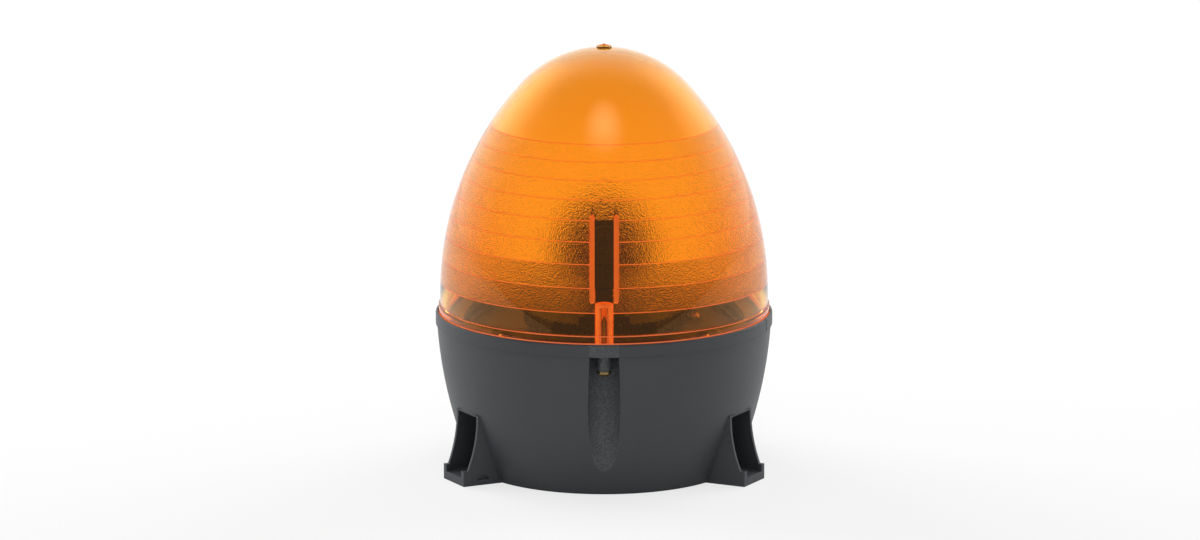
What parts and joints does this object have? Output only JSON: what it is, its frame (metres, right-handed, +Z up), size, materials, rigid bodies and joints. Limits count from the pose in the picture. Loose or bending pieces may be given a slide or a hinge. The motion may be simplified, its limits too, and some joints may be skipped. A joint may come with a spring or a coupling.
{
  "type": "rotating beacon",
  "caption": "Egg-shaped amber rotating beacon on a tapered base with three slotted feet; motor-driven reflector round a fixed lamp under the dome.",
  "frame": {"origin": "centre of the circle of foot holes, on the beacon's axis in the plane it stands on", "axes": "+Z up along the axis, front screwdriver groove towards -Y"},
  "size_m": [0.15, 0.1515, 0.1897],
  "materials": {
    "housing_plastic": "moulded, fine spark-eroded grain",
    "amber_polycarbonate": "clear gloss outside, stippled rings inside",
    "gasket_rubber": "matt",
    "grommet_rubber": "matt",
    "screw_steel": "yellow zinc plated",
    "chassis_plastic": "moulded, satin",
    "post_steel": "turned",
    "washer_nylon": "natural nylon",
    "spring_steel": "blued",
    "gear_acetal": "black acetal",
    "bush_bronze": "sintered bronze",
    "pinion_brass": "hobbed",
    "motor_steel": "zinc plated",
    "end_cap_plastic": "moulded",
    "terminal_brass": "bright",
    "reflector_chrome": "vacuum metallised",
    "carrier_steel": "black zinc",
    "holder_ceramic": "glazed ceramic",
    "lamp_glass": "clear",
    "board_laminate": "green solder resist",
    "block_plastic": "green polyamide",
    "capacitor_plastic": "yellow case"
  },
  "bodies": {
    "base": {"base_housing": "housing_plastic", "dome": "amber_polycarbonate", "dome_screws": "screw_steel", "cable_grommet": "grommet_rubber", "dome_gasket": "gasket_rubber", "chassis_plate": "chassis_plastic", "chassis_screws": "screw_steel", "centre_post": "post_steel", "post_screws": "screw_steel", "thrust_washer": "washer_nylon", "retaining_clip": "spring_steel", "motor_can": "motor_steel", "motor_end_cap": "end_cap_plastic", "motor_terminals": "terminal_brass", "motor_screws": "screw_steel", "lamp_holder": "holder_ceramic", "lamp_cap": "terminal_brass", "lamp_glass": "lamp_glass", "suppressor_board": "board_laminate", "board_screws": "screw_steel", "terminal_block": "block_plastic", "terminal_screws": "screw_steel", "suppressor_capacitor": "capacitor_plastic", "cord_clamp": "chassis_plastic", "clamp_screws": "screw_steel"},
    "rotor": {"drive_gear": "gear_acetal", "bearing_bush": "bush_bronze", "reflector": "reflector_chrome", "reflector_carrier": "carrier_steel", "carrier_screws": "screw_steel", "reflector_screws": "screw_steel"},
    "drive_pinion": {"pinion": "pinion_brass", "motor_shaft": "post_steel"}
  },
  "joints": [
    {"name": "rotor_spin", "type": "hinge", "parent": "base", "child": "rotor", "pos_m": [0, 0, 0.0725], "axis": [0, 0, 1], "continuous": true},
    {"name": "pinion_spin", "type": "hinge", "parent": "base", "child": "drive_pinion", "pos_m": [0.03644, 0.02104, 0.055], "axis": [0, 0, 1], "continuous": true}
  ],
  "couplings": [
    {"joint": "pinion_spin", "follows": "rotor_spin", "ratio": -5}
  ]
}
